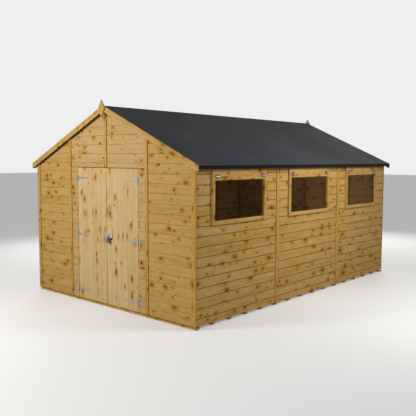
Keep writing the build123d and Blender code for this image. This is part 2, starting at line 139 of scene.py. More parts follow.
# Its relief: that of the fibres in metres, that of knots and saw marks as shares of it, and the scale
# that brings saw marks every 3.5 mm. Then its roughness, planed and sawn
GRAIN_RELIEF = 0.0006
KNOT_RELIEF = 0.6
SAW_RELIEF = 0.8
SAW_MARKS = 90
PLANED = 0.62
ROUGH_SAWN = 0.8

# Other patterns, as how many fit in a metre: slate grains, which are under 1 mm and are drawn at 5 mm
# so that they show, clouds in the felt, blotches in the plating, the marks of drawing, and the waves
# in a pane
SLATE_GRAINS = 220
FELT_CLOUDS = 1.3
PLATING_BLOTCHES = 45
DRAWING_MARKS = (300, 300, 2500)
PANE_WAVES = 3

# How far up the felt looks where it still lies on the roof; faces that look less far up, at the eaves
# and under the overhangs, are painted in shade
EAVES_FACING = 0.5

# The sheen of timber and felt is kept low, because the whole pale studio would show in it
TIMBER_SPECULAR = 0.12
FELT_SPECULAR = 0.15

# Fittings in metres: what the solids' plates measure, and the places and sizes of screws and nails
HINGE_PLATE = 0.003
SCREW_WIDTH = 0.008
SCREW_RISE = 0.0022
HEAD_SEGMENTS = 10
HEAD_RINGS = 4
STRAP_SCREWS = (0.018, 0.095, 0.19)
PLATE_INSET = 0.013
PLATE_SCREWS = (-0.032, 0, 0.032)
HASP_INSET = 0.013
HASP_STEP = 0.03
CATCH_DEPTH = 0.020
WINDOW_LEAF = 0.0015
WINDOW_SCREW_OUT = 0.0195
WINDOW_SCREW_UP = 0.015
WINDOW_SCREW_SHARE = 0.7
WINDOW_KNUCKLE = 0.005
WINDOW_SLEEVE = 0.0056
SLEEVE_SHORT = 0.002
SLEEVE_SEGMENTS = 24
NAIL_WIDTH = 0.0045
NAIL_RISE = 0.0007
NAIL_PARTS = (0.27, 0.73)
NAIL_HEADROOM = 0.06
SHORTEST_UPRIGHT = 1.0
TALLEST_LEDGE = 0.12
DOOR_NAILS = ((0.3, -0.022), (0.7, 0.022))
BOLT_PLATE = (0.050, 0.002, 0.020)
BOLT_INSET = 0.004
BOLT_PLATE_ARRIS = 0.0006
# A near-black plate under the catch stands for the shadow that the catch casts: painted shadow
SHADOW_PLATE = (0.006, 0.0015, 0.020)
SHADOW_PLATE_ARRIS = 0.0004

# Camera, solved from the photo
CAMERA_PLACE = (5.6543, -6.7066, 1.8494)
CAMERA_YAW = 0.7289
CAMERA_PITCH = 0.0853
CAMERA_ROLL = 0.003
CAMERA_LENS = 50
CAMERA_SENSOR = 36

# Studio: the light that the surroundings give and how bright they look, and the floor's colour in the
# light it throws back and in the look it has, with its own glow in that look
WORLD_LIGHT = 0.27
WORLD_SHOWN = 0.86
FLOOR_REACH = 60
FLOOR_BOUNCE = "8A8884"
FLOOR_SHOWN = "D8D8D6"
FLOOR_LIFT = 0.24
FLOOR_ROUGHNESS = 0.95
FLOOR_SPECULAR = 0.1
WHITE = (1, 1, 1, 1)

# Lamps, each with its place, what it is aimed at, its width and its power
LAMPS = (
    ("front_lamp", (-1.1, -5.9, 3.0), (0.3, -2.25, 0.8), 1.6, 112),
    ("corner_lamp", (3.6, -7.4, 2.2), (0.8, -2.25, 1.1), 2.2, 82),
    ("side_lamp", (4.0, 0.0, 3.0), (1.5, 0.2, 0.8), 1.4, 74),
    ("left_lamp", (-5.0, 0.6, 3.0), (-1.5, 0, 0.9), 2.4, 88),
    ("back_lamp", (-0.6, 6.2, 3.0), (0, 2.25, 0.9), 2.4, 100),
    ("room_lamp", (0.6, 0.6, 1.9), (0.6, 2.2, 1.3), 0.4, 3.8),
)

# Kinds of node that come often, and the sockets of a Mix node that blends two colours
MATH = "ShaderNodeMath"
VECTOR_MATH = "ShaderNodeVectorMath"
RANGE = "ShaderNodeMapRange"
NOISE = "ShaderNodeTexNoise"
ATTRIBUTE = "ShaderNodeAttribute"
RAMP = "ShaderNodeValToRGB"
MIX = "ShaderNodeMix"
SHARE, UNDER, OVER, BLEND = 0, 6, 7, 2


def colour(code):
    """An sRGB hex code as the linear values that a shader takes."""
    channels = [int(code[i:i + 2], 16) / 255 for i in (0, 2, 4)]
    linear = [c / 12.92 if c <= 0.04045 else ((c + 0.055) / 1.055) ** 2.4 for c in channels]
    return (*linear, 1)


def put(tree, kind, inputs=None, **settings):
    """Adds a node. An input is a value, the output that feeds it, or a node whose first output does."""
    node = tree.nodes.new(kind)
    for key, value in settings.items():
        setattr(node, key, value)
    for key, value in (inputs or {}).items():
        if isinstance(value, bpy.types.Node):
            value = value.outputs[0]
        if isinstance(value, bpy.types.NodeSocket):
            tree.links.new(value, node.inputs[key])
        else:
            node.inputs[key].default_value = value
    return node


# Materials


def new_material(name):
    material = bpy.data.materials.new(name)
    material.use_nodes = True
    tree = material.node_tree
    return material, tree, tree.nodes["Principled BSDF"]


def set_stops(node, stops):
    """Sets a colour ramp's stops, each a place, a hex code and perhaps an alpha. Returns its outputs."""
    elements = node.color_ramp.elements
    while len(elements) < len(stops):
        elements.new(0.5)
    for element, (place, code, *alpha) in zip(elements, stops):
        element.position = place
        element.color = (*colour(code)[:3], alpha[0] if alpha else 1)
    return node.outputs


def board_frame(tree):
    """Places along, across and into a board, shifted by chance so that no two boards look alike."""
    place = put(tree, "ShaderNodeTexCoord").outputs["Object"]
    run = put(tree, ATTRIBUTE, attribute_name="run").outputs["Vector"]
    across = put(tree, ATTRIBUTE, attribute_name="across").outputs["Vector"]
    board = put(tree, ATTRIBUTE, attribute_name="board").outputs["Fac"]
    inward = put(tree, VECTOR_MATH, {0: run, 1: across}, operation="CROSS_PRODUCT").outputs[0]
    parts = [
        put(tree, VECTOR_MATH, {0: place, 1: axis}, operation="DOT_PRODUCT").outputs["Value"]
        for axis in (run, across, inward)
    ]
    own = put(tree, "ShaderNodeCombineXYZ", dict(enumerate(parts)))
    chance = put(tree, "ShaderNodeTexWhiteNoise", {"W": board}, noise_dimensions="1D").outputs
    shift = put(tree, VECTOR_MATH, {0: chance["Color"], 1: BOARD_SHIFT}, operation="MULTIPLY")
    return put(tree, VECTOR_MATH, {0: own, 1: shift}, operation="ADD"), chance["Value"]


def knots(tree, own, cell, share, size, stretch):
    """Round knots in their haloes: one candidate in each cell along a board, of which a share is kept.

    Gives the colour, how much of it covers the wood, the way to the knot, the distance to it in radii,
    and one where it is kept.
    """
    in_cells = put(tree, VECTOR_MATH, {0: own, 1: cell}, operation="DIVIDE")
    cells = put(
        tree, "ShaderNodeTexVoronoi", {"Vector": in_cells, "Scale": 1, "Randomness": 1},
        voronoi_dimensions="2D", feature="F1",
    ).outputs
    away = put(tree, VECTOR_MATH, {0: in_cells, 1: cells["Position"]}, operation="SUBTRACT")
    away = put(tree, VECTOR_MATH, {0: away, 1: cell}, operation="MULTIPLY")
    away = put(tree, VECTOR_MATH, {0: away, 1: (1 / stretch, 1, 0)}, operation="MULTIPLY")
    ragged = put(tree, NOISE, {"Vector": own, "Scale": KNOT_EDGE, "Detail": 3}).outputs["Color"]
    ragged = put(tree, VECTOR_MATH, {0: ragged, 1: (0.5, 0.5, 0.5)}, operation="SUBTRACT")
    ragged = put(tree, VECTOR_MATH, {0: ragged, 1: KNOT_RAGGED}, operation="MULTIPLY")
    away = put(tree, VECTOR_MATH, {0: away, 1: ragged}, operation="ADD")

    dice = put(tree, "ShaderNodeSeparateColor", {0: cells["Color"]}).outputs
    radius = put(tree, MATH, {0: dice["Red"], 1: 2}, operation="POWER")
    radius = put(tree, RANGE, {"Value": radius, "To Min": size[0], "To Max": size[1]})
    distance = put(tree, VECTOR_MATH, {0: away}, operation="LENGTH").outputs["Value"]
    reach = put(tree, MATH, {0: distance, 1: radius}, operation="DIVIDE")

    whorl = put(tree, NOISE, {"Vector": cells["Position"], "Scale": WHORLS, "Detail": 1})
    crowd = put(tree, RANGE, {
        "Value": whorl, "From Min": WHORL_EDGES[0], "From Max": WHORL_EDGES[1],
        "To Min": WHORL_CROWD[0], "To Max": WHORL_CROWD[1],
    })
    crowd = put(tree, MATH, {0: crowd, 1: share}, operation="MULTIPLY")
    kept = put(tree, MATH, {0: dice["Green"], 1: crowd}, operation="LESS_THAN")
    strength = put(tree, RANGE, {"Value": dice["Blue"], "To Min": KNOT_FAINTEST, "To Max": 1})
    strength = put(tree, MATH, {0: kept, 1: strength}, operation="MULTIPLY")
    from_heart = put(tree, MATH, {0: reach, 1: KNOT_REACH}, operation="DIVIDE")
    knot = set_stops(put(tree, RAMP, {0: from_heart}), KNOT_RINGS)
    cover = put(tree, MATH, {0: knot["Alpha"], 1: strength}, operation="MULTIPLY")
    return knot["Color"], cover, away, reach, kept


def timber(name, tones, joint_shade, knot_share, knot_size, knot_stretch, roughness=PLANED, saw_marks=0):
    """Softwood whose grain runs along each board, with knots at random along it."""
    material, tree, shader = new_material(name)
    own, chance = board_frame(tree)
    pin, pin_cover, *_ = knots(tree, own, PIN_CELL, knot_share * PIN_SHARE, PIN_SIZE, knot_stretch)
    knot, knot_cover, away, reach, kept = knots(tree, own, KNOT_CELL, knot_share, knot_size, knot_stretch)

    # Growth rings: streaks along the board, which part round the knots
    closeness = put(tree, MATH, {0: 1, 1: reach}, operation="SUBTRACT")
    closeness = put(tree, MATH, {0: closeness}, operation="EXPONENT")
    closeness = put(tree, MATH, {0: closeness, 1: kept}, operation="MULTIPLY")
    closeness = put(tree, MATH, {0: closeness, 1: RING_BEND}, operation="MULTIPLY")
    bend = put(tree, VECTOR_MATH, {0: away, "Scale": closeness}, operation="SCALE")
    bent = put(tree, VECTOR_MATH, {0: own, 1: bend}, operation="ADD")
    streaks, fibres, patch = [
        put(tree, NOISE, {
            "Vector": put(tree, VECTOR_MATH, {0: place, 1: stretch}, operation="MULTIPLY"),
            "Scale": 1, "Detail": 3, "Roughness": busy,
        })
        for place, stretch, busy in (
            (bent, RING_STRETCH, 0.6), (bent, FIBRE_STRETCH, 0.55), (own, PATCH_STRETCH, 0.65),
        )
    ]
    tone = put(tree, MATH, {0: chance, 1: BOARD_TONES, 2: -BOARD_TONES / 2}, operation="MULTIPLY_ADD")
    stain = put(tree, MATH, {0: patch, 1: PATCH_TONES, 2: -PATCH_TONES / 2}, operation="MULTIPLY_ADD")
    tone = put(tree, MATH, {0: tone, 1: stain}, operation="ADD")
    tone = put(tree, MATH, {0: streaks, 1: tone}, operation="ADD")
    body = set_stops(put(tree, RAMP, {0: tone}), list(zip((0.22, 0.52, 0.8), tones)))["Color"]
    grainy = put(tree, RANGE, {
        "Value": fibres, "From Min": FIBRE_EDGES[0], "From Max": FIBRE_EDGES[1],
        "To Min": FIBRE_TONES[0], "To Max": FIBRE_TONES[1],
    })
    surface = put(tree, VECTOR_MATH, {0: body, "Scale": grainy}, operation="SCALE").outputs[0]

    end = put(tree, ATTRIBUTE, attribute_name="end_grain").outputs["Fac"]
    end = put(tree, MATH, {0: end, 1: END_GRAIN}, operation="MULTIPLY")
    # The walls of the joints take the joint colour, which is painted shade
    groove = put(tree, ATTRIBUTE, attribute_name="groove").outputs["Fac"]
    covers = ((pin_cover, pin), (knot_cover, knot), (end, colour("6A4618")), (groove, colour(joint_shade)))
    for cover, over in covers:
        surface = put(
            tree, MIX, {SHARE: cover, UNDER: surface, OVER: over}, data_type="RGBA"
        ).outputs[BLEND]
    tree.links.new(surface, shader.inputs["Base Color"])

    height = put(tree, MATH, {0: knot_cover, 1: KNOT_RELIEF, 2: fibres}, operation="MULTIPLY_ADD")
    if saw_marks:
        teeth = put(tree, "ShaderNodeTexWave", {"Vector": own, "Scale": saw_marks, "Distortion": 1.5})
        teeth = teeth.outputs["Fac"]
        height = put(tree, MATH, {0: teeth, 1: SAW_RELIEF, 2: height}, operation="MULTIPLY_ADD")
    bump = put(tree, "ShaderNodeBump", {"Height": height, "Strength": 0.5, "Distance": GRAIN_RELIEF})
    tree.links.new(bump.outputs[0], shader.inputs["Normal"])
    gloss = put(tree, RANGE, {"Value": fibres, "To Min": roughness - 0.08, "To Max": roughness + 0.08})
    tree.links.new(gloss.outputs[0], shader.inputs["Roughness"])
    shader.inputs["Specular IOR Level"].default_value = TIMBER_SPECULAR
    return material


def roofing_felt():
    """Bitumen felt with a mineral surface: matt, near black, with a fine sparkle of slate grains, and
    painted shade where it turns down.
    """
    material, tree, shader = new_material("mineral_bitumen_felt")
    where = put(tree, "ShaderNodeTexCoord").outputs
    grains = put(tree, NOISE, {
        "Vector": where["Object"], "Scale": SLATE_GRAINS, "Detail": 2, "Roughness": 0.7,
    })
    clouds = put(tree, NOISE, {"Vector": where["Object"], "Scale": FELT_CLOUDS, "Detail": 3})
    shade = put(tree, MATH, {0: clouds, 1: 0.5, 2: grains}, operation="MULTIPLY_ADD")
    body = set_stops(put(tree, RAMP, {0: shade}), ((0.4, "282A2C"), (0.75, "36383B"), (1.0, "46484C")))
    # Where it turns down at the eaves and under the overhangs it is painted near black: painted shade
    facing = put(tree, "ShaderNodeSeparateXYZ", {0: where["Normal"]}).outputs["Z"]
    painted_shade_down = put(tree, MATH, {0: facing, 1: EAVES_FACING}, operation="LESS_THAN")
    surface = put(tree, MIX, {
        SHARE: painted_shade_down, UNDER: body["Color"], OVER: colour("0E0F10"),
    }, data_type="RGBA")
    tree.links.new(surface.outputs[BLEND], shader.inputs["Base Color"])
    bump = put(tree, "ShaderNodeBump", {"Height": grains, "Strength": 0.6, "Distance": 0.001})
    tree.links.new(bump.outputs[0], shader.inputs["Normal"])
    shader.inputs["Roughness"].default_value = 0.92
    shader.inputs["Specular IOR Level"].default_value = FELT_SPECULAR
    return material


def plated_steel(name, pale, dark, roughness, metallic):
    """Pressed steel under a thin finish: soft blotches in its tone, fine drawing marks in its gloss."""
    material, tree, shader = new_material(name)
    place = put(tree, "ShaderNodeTexCoord").outputs["Object"]
    blotches = put(tree, NOISE, {"Vector": place, "Scale": PLATING_BLOTCHES, "Detail": 3})
    body = set_stops(put(tree, RAMP, {0: blotches}), ((0.3, dark), (0.7, pale)))
    tree.links.new(body["Color"], shader.inputs["Base Color"])
    drawn = put(tree, VECTOR_MATH, {0: place, 1: DRAWING_MARKS}, operation="MULTIPLY")
    marks = put(tree, NOISE, {"Vector": drawn, "Scale": 1, "Detail": 2})
    gloss = put(tree, RANGE, {"Value": marks, "To Min": roughness - 0.08, "To Max": roughness + 0.12})
    tree.links.new(gloss.outputs[0], shader.inputs["Roughness"])
    shader.inputs["Metallic"].default_value = metallic
    return material


def horticultural_glass():
    """Drawn glass 4 mm thick: clear, with a faint brown cast from the timber and a slow surface wave.

    Its IOR is brought down from the 1.5 of glass, until a pane mirrors as little of the pale studio as
    the real ones mirror of their surroundings.
    """
    material, tree, shader = new_material("horticultural_glass")
    place = put(tree, "ShaderNodeTexCoord").outputs["Object"]
    waves = put(tree, NOISE, {"Vector": place, "Scale": PANE_WAVES, "Detail": 1})
    bump = put(tree, "ShaderNodeBump", {"Height": waves, "Strength": 0.05, "Distance": 0.002})
    tree.links.new(bump.outputs[0], shader.inputs["Normal"])
    shader.inputs["Base Color"].default_value = colour("E8E4E0")
    shader.inputs["Roughness"].default_value = 0.02
    shader.inputs["IOR"].default_value = 1.08
    shader.inputs["Transmission Weight"].default_value = 1
    return material


# Planed pine from the dip tank: honey coloured and matt, with brown knots in golden haloes. Each has
# three tones of its growth rings, the painted shade in its joints (soft on the lit front, near black
# on the walls), the share and size of its knots, and how much longer they are than wide
FRONT_PINE = timber(
    "dip_treated_pine_front", ("CBA466", "C29B58", "B48A44"), "8E682C", 0.42, (0.012, 0.027), 1.4,
)
# Gables and door sides get a paler copy, as the brighter-lit middle of the front looks: painted light
GABLE_PINE = timber(
    "dip_treated_pine_gable", ("CCA974", "C4A066", "B89154"), "8E682C", 0.34, (0.010, 0.022), 1.4,
)
PINE = timber(
    "dip_treated_pine", ("CDA668", "C39C58", "B48A42"), "1E1202", 0.42, (0.011, 0.029), 1.5,
)
STRIP_PINE = timber(
    "dip_treated_pine_strips", ("CCA260", "C0954C", "B28438"), "241603", 0.38, (0.011, 0.026), 1.5,
)
# The doors' boards are more even, with few knots and close joints, and paler, as the brighter-lit
# middle of the front looks: painted light
DOOR_PINE = timber(
    "dip_treated_pine_doors", ("DABC89", "D2B27C", "C8A566"), "BF9A60", 0.25, (0.012, 0.020), 1.8,
)
# Sawn timber: furred and quite matt, with the marks of the saw across it. The joists are dipped too,
# which makes them golden, and are made paler still so that the low sill, in shade, looks lit: painted light
SAWN = timber(
    "sawn_softwood", ("B8946A", "A07A50", "86603A"), "3A2408", 0.22, (0.010, 0.018), 1.3,
    ROUGH_SAWN, SAW_MARKS,
)
JOIST_PINE = timber(
    "sawn_treated_joists", ("DCB468", "D0A458", "BC8C3C"), "3A2408", 0.2, (0.010, 0.018), 1.3,
    ROUGH_SAWN, SAW_MARKS,
)
FELT = roofing_felt()
# Zinc is a satin grey. The catch is paler and glossier, and its pale colour stands in part for the
# highlight on its raised face: painted highlight. The padlock and the windows' screws are polished. The
# leaves of the window hinges are darkened and their knuckles near white: painted shade, and a painted
# highlight along the barrel. The near-black, matt plate under the catch is painted shadow
ZINC = plated_steel("zinc_plated_steel", "B6B2A8", "98948C", 0.5, 0.75)
# The catch's paler colour stands in part for the highlight on its raised face: painted highlight
CATCH_ZINC = plated_steel("zinc_plated_catch", "D8D0C4", "A8A098", 0.35, 0.85)
BRIGHT = plated_steel("polished_plated_steel", "8C8C90", "5C5E64", 0.28, 1)
DARKENED_LEAVES = plated_steel("darkened_hinge_leaves", "6A6E76", "50545C", 0.4, 1)
HIGHLIGHT_KNUCKLE = plated_steel("painted_highlight_knuckles", "E6E8EC", "C8CCD4", 0.22, 1)
SHADOW_BLACK = plated_steel("painted_shadow_black", "141414", "080808", 0.6, 0.4)
GLASS = horticultural_glass()


# Meshes


def finished(name, mesh, body, slot, *replaced):
    """A piece in place, riding on its body."""
    piece = bpy.data.objects.new(name, mesh)
    bpy.context.scene.collection.objects.link(piece)
    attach(piece, body)
    if replaced:
        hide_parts(*replaced)
    return piece


def stand_for(node, ending, mesh):
    """A piece in the place of a CAD node, on that node's body."""
    return finished(f"{node}_{ending}", mesh, BODY_OF[node], SLOT_OF[node], node)


def merged(mesh, distance):
    """A mesh to work on, with corners that lie together made one."""
    shape = bmesh.new()
    shape.from_mesh(mesh)
    bmesh.ops.remove_doubles(shape, verts=shape.verts, dist=distance)
    return shape


def meshed(name, shape, material):
    """The mesh of a shape that is done."""
    mesh = bpy.data.meshes.new(name)
    shape.to_mesh(mesh)
    shape.free()
    mesh.materials.append(material)
    return mesh


def ease(shape, edges, arris):
    """Rounds edges a little."""
    bmesh.ops.bevel(
        shape, geom=edges, offset=arris, segments=ARRIS_STEPS, profile=0.5, affect="EDGES",
        clamp_overlap=True,
    )


def islands(shape):
    """The faces of a shape in separate connected pieces, in the order of their first faces."""
    found = []
    left = set(shape.faces)
    while left:
        stack = [left.pop()]
        island = []
        while stack:
            face = stack.pop()
            island.append(face)
            for edge in face.edges:
                for other in edge.link_faces:
                    if other in left:
                        left.discard(other)
                        stack.append(other)
        found.append(sorted(island, key=lambda face: face.index))
    return sorted(found, key=lambda island: island[0].index)


def mark_grain(mesh, seed, run=None, outward=None):
    """Tells the timber materials which way each board runs, and which board a face is on."""
    shape = bmesh.new()
    shape.from_mesh(mesh)
    run_layer = shape.faces.layers.float_vector.new("run")
    across_layer = shape.faces.layers.float_vector.new("across")
    board_layer = shape.faces.layers.float.new("board")
    joint_shade_layer = shape.faces.layers.float.new("groove")
    end_layer = shape.faces.layers.float.new("end_grain")
    chance = random.Random(seed)
    for faces in islands(shape):
        # Measures are rounded, so that equal ones go by their index
        edges = {edge for face in faces for edge in face.edges}
        longest = max(edges, key=lambda edge: (round(edge.calc_length(), 5), -edge.index))
        along = run or (longest.verts[1].co - longest.verts[0].co).normalized()
        broad = max(faces, key=lambda face: (round(face.calc_area(), 6), -face.index))
        side = broad.normal.cross(along).normalized()
        board = chance.random()
        front = max(corner.co.dot(outward) for face in faces for corner in face.verts) if outward else 0
        for face in faces:
            endwise = abs(face.normal.dot(along))
            face[run_layer] = along
            face[across_layer] = side
            face[board_layer] = board
            face[end_layer] = float(endwise > END_FACING)
            if outward:
                facing = face.normal.dot(outward)
                behind = front - face.calc_center_median().dot(outward)
                in_joint = behind > JOINT_DEPTH and facing > -SIDE_FACING
                face[joint_shade_layer] = float(endwise < SIDE_FACING and in_joint)
    shape.to_mesh(mesh)
    shape.free()
    mesh.shade_flat()


# Boards, laid by Geometry Nodes

PROFILES = []


def board_profile(name, course, gap, arris=BOARD_ARRIS):
    """Cross-section of a tongued and grooved board, as places across the board and out of its face."""
    low, high = gap / 2, course - gap / 2
    tongue = [-BOARD_THICK * share for share in TONGUE_SHARES]
    groove = (tongue[0] + TONGUE_PLAY, tongue[1] - TONGUE_PLAY)
    tip = course + low + TONGUE_REACH
    notch = low + TONGUE_REACH + 2 * TONGUE_PLAY
    points = [
        (low + arris, 0), (high - arris, 0), (high, -arris), (high, tongue[0]),
        (tip, tongue[0]), (tip, tongue[1]), (high, tongue[1]), (high, -BOARD_THICK),
        (low, -BOARD_THICK), (low, groove[1]), (notch, groove[1]), (notch, groove[0]),
        (low, groove[0]), (low, -arris),
    ]
    curve = bpy.data.curves.new(name, "CURVE")
    spline = curve.splines.new("POLY")
    spline.points.add(len(points) - 1)
    for point, (across, outward) in zip(spline.points, reversed(points)):
        point.co = (outward, -across, 0, 1)
    spline.use_cyclic_u = True
    profile = bpy.data.objects.new(name, curve)
    bpy.context.scene.collection.objects.link(profile)
    PROFILES.append(profile)
    return profile


def new_tree(name, sockets):
    """A Geometry Nodes tree with a mesh in, a mesh out and these named inputs."""
    tree = bpy.data.node_groups.new(name, "GeometryNodeTree")
    tree.interface.new_socket("Geometry", in_out="OUTPUT", socket_type="NodeSocketGeometry")
    tree.interface.new_socket("Geometry", in_out="INPUT", socket_type="NodeSocketGeometry")
    for title, kind in sockets.items():
        tree.interface.new_socket(title, in_out="INPUT", socket_type=f"NodeSocket{kind}")
    return tree, tree.nodes.new("NodeGroupInput").outputs, tree.nodes.new("NodeGroupOutput")


def boarding_tree():
    """Boards in courses, cut to the outline of a panel.

    Turn brings the panel's own frame into place: there X runs along the boards, Z is across them
    and the face looks along -Y. Start is where one joint lies across the boards.
    """
    tree, given, result = new_tree("boarding", {
        "Profile": "Object", "Course": "Float", "Start": "Float", "Turn": "Vector", "Material": "Material",
    })
    turn = put(tree, "FunctionNodeEulerToRotation", {0: given["Turn"]})
    back = put(tree, "FunctionNodeInvertRotation", {0: turn})
    panel = put(tree, "GeometryNodeMergeByDistance", {
        "Geometry": given["Geometry"], "Distance": PANEL_WELD,
    })
    panel = put(tree, "GeometryNodeTransform", {"Geometry": panel, "Rotation": back})
    box = put(tree, "GeometryNodeBoundBox", {"Geometry": panel}).outputs
    low = put(tree, "ShaderNodeSeparateXYZ", {0: box["Min"]}).outputs
    high = put(tree, "ShaderNodeSeparateXYZ", {0: box["Max"]}).outputs

    # The panel, made thicker, cuts the boards to length and to the slope of the roof
    place = put(tree, "GeometryNodeInputPosition")
    middle = put(tree, VECTOR_MATH, {0: box["Min"], 1: box["Max"]}, operation="ADD")
    middle = put(tree, VECTOR_MATH, {0: middle, "Scale": 0.5}, operation="SCALE")
    side = put(tree, VECTOR_MATH, {0: place, 1: middle}, operation="SUBTRACT")
    side = put(tree, VECTOR_MATH, {0: side}, operation="SIGN")
    side = put(tree, VECTOR_MATH, {0: side, 1: (0, CUTTER_SPREAD, 0)}, operation="MULTIPLY")
    cutter = put(tree, "GeometryNodeSetPosition", {"Geometry": panel, "Offset": side})

    # Courses are counted from the joint at Start, to just past the panel's lower and upper edges
    ends = []
    for edge, rounding in ((low["Z"], "FLOOR"), (high["Z"], "CEIL")):
        courses = put(tree, MATH, {0: edge, 1: given["Start"]}, operation="SUBTRACT")
        courses = put(tree, MATH, {0: courses, 1: given["Course"]}, operation="DIVIDE")
        ends.append(put(tree, MATH, {0: courses}, operation=rounding))
    count = put(tree, MATH, {0: ends[1], 1: ends[0]}, operation="SUBTRACT")
    bottom = put(
        tree, MATH, {0: ends[0], 1: given["Course"], 2: given["Start"]}, operation="MULTIPLY_ADD"
    )
    start = put(tree, "ShaderNodeCombineXYZ", {0: low["X"], 1: low["Y"], 2: bottom})
    rise = put(tree, "ShaderNodeCombineXYZ", {2: given["Course"]})
    rows = put(
        tree, "GeometryNodeMeshLine", {"Count": count, "Start Location": start, "Offset": rise},
        mode="OFFSET",
    )

    length = put(tree, MATH, {0: high["X"], 1: low["X"]}, operation="SUBTRACT")
    length = put(tree, MATH, {0: length, 1: BOARD_OVERRUN}, operation="ADD")
    end = put(tree, "ShaderNodeCombineXYZ", {0: length})
    line = put(tree, "GeometryNodeCurvePrimitiveLine", {"Start": (-BOARD_OVERRUN, 0, 0), "End": end})
    profile = put(tree, "GeometryNodeObjectInfo", {"Object": given["Profile"]}).outputs["Geometry"]
    board = put(tree, "GeometryNodeCurveToMesh", {
        "Curve": line, "Profile Curve": profile, "Fill Caps": True,
    })
    boards = put(tree, "GeometryNodeInstanceOnPoints", {"Points": rows, "Instance": board})
    boards = put(tree, "GeometryNodeRealizeInstances", {"Geometry": boards})
    cut = put(tree, "GeometryNodeMeshBoolean", operation="INTERSECT", solver="MANIFOLD")
    for node in (boards, cutter):
        tree.links.new(node.outputs[0], cut.inputs["Mesh 2"])
    laid = put(tree, "GeometryNodeTransform", {"Geometry": cut, "Rotation": turn})
    laid = put(tree, "GeometryNodeRealizeInstances", {"Geometry": laid})
    laid = put(tree, "GeometryNodeSetMaterial", {"Geometry": laid, "Material": given["Material"]})
    tree.links.new(laid.outputs[0], result.inputs[0])
    return tree


def head_tree():
    """Domed heads, one on each point, which look along the point's own facing."""
    tree, given, result = new_tree("heads", {"Width": "Float", "Rise": "Float", "Material": "Material"})
    facing = put(tree, "GeometryNodeInputNamedAttribute", {"Name": "facing"}, data_type="FLOAT_VECTOR")
    turn = put(tree, "FunctionNodeAlignRotationToVector", {"Vector": facing}, axis="Z")
    half = put(tree, MATH, {0: given["Width"], 1: 0.5}, operation="MULTIPLY")
    size = put(tree, "ShaderNodeCombineXYZ", {0: half, 1: half, 2: given["Rise"]})
    dome = put(tree, "GeometryNodeMeshUVSphere", {
        "Segments": HEAD_SEGMENTS, "Rings": HEAD_RINGS, "Radius": 1.0,
    })
    heads = put(tree, "GeometryNodeInstanceOnPoints", {
        "Points": given["Geometry"], "Instance": dome, "Rotation": turn, "Scale": size,
    })
    heads = put(tree, "GeometryNodeRealizeInstances", {"Geometry": heads})
    heads = put(tree, "GeometryNodeSetMaterial", {"Geometry": heads, "Material": given["Material"]})
    tree.links.new(heads.outputs[0], result.inputs[0])
    return tree


BOARDING = boarding_tree()
HEADS = head_tree()


def grown(name, source, tree, values):
    """The mesh that a Geometry Nodes tree makes from a mesh."""
    carrier = bpy.data.objects.new(name, source)
    bpy.context.scene.collection.objects.link(carrier)
    modifier = carrier.modifiers.new("grow", "NODES")
    modifier.node_group = tree
    for item in tree.interface.items_tree:
        if item.in_out == "INPUT" and item.name in values:
            modifier[item.identifier] = values[item.name]
    evaluated = carrier.evaluated_get(bpy.context.evaluated_depsgraph_get())
    mesh = bpy.data.meshes.new_from_object(evaluated)
    carrier.modifiers.remove(modifier)
    bpy.data.objects.remove(carrier)
    mesh.name = name
    return mesh


def panel_turn(run, outward):
    """The turn that brings a panel's own frame to boards that run one way and face another."""
    run, inward = Vector(run), -Vector(outward)
    return Matrix((run, inward, run.cross(inward))).transposed()


def board_panel(node, run, outward, profile, course, start, material):
    """Lays boards in the place of a plain panel. Start is a joint's place across them."""
    mesh = grown(f"{node}_boarding", NODES[node].data.copy(), BOARDING, {
        "Profile": profile, "Course": course, "Start": start,
        "Turn": tuple(panel_turn(run, outward).to_euler()), "Material": material,
    })
    shape = merged(mesh, BOARD_WELD)
    if shape.calc_volume(signed=True) < 0:
        bmesh.ops.reverse_faces(shape, faces=shape.faces)
    shape.to_mesh(mesh)
    shape.free()
    mark_grain(mesh, node, Vector(run), Vector(outward))
    return stand_for(node, "boarding", mesh)


def wall_boards():
    tight = board_profile("front_profile", COURSE, FRONT_GAP)
    open_joint = board_profile("wall_profile", COURSE, BOARD_GAP)
    front = {
        "front_wall_left": FRONT_PINE, "front_wall_right": FRONT_PINE,
        "front_gable_left": GABLE_PINE, "front_gable_right": GABLE_PINE,
        "door_side_left": GABLE_PINE, "door_side_right": GABLE_PINE,
    }
    for node, material in front.items():
        board_panel(node, (1, 0, 0), (0, -1, 0), tight, COURSE, 0, material)
    walls = {
        ((-1, 0, 0), (0, 1, 0)): ("back_wall_left", "back_wall_right"),
        ((0, -1, 0), (-1, 0, 0)): ("left_wall_front", "left_wall_middle", "left_wall_back"),
        ((0, 1, 0), (1, 0, 0)): (
            "right_wall_front", "right_wall_middle", "right_wall_back", "window_piers",
        ),
    }
    for (run, outward), nodes in walls.items():
        for node in nodes:
            board_panel(node, run, outward, open_joint, COURSE, 0, PINE)


def door_boards():
    for side in ("left", "right"):
        node = f"{side}_door_boards"
        low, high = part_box(node)
        course = (high.x - low.x) / DOOR_BOARDS
        profile = board_profile(f"{side}_door_profile", course, DOOR_GAP, DOOR_ARRIS)
        board_panel(node, (0, 0, 1), (0, -1, 0), profile, course, -high.x, DOOR_PINE)


def floor_boards():
    profile = board_profile("floor_profile", FLOOR_COURSE, INNER_GAP)
    board_panel("floor_panels", (0, 1, 0), (0, 0, 1), profile, FLOOR_COURSE, 0, SAWN)


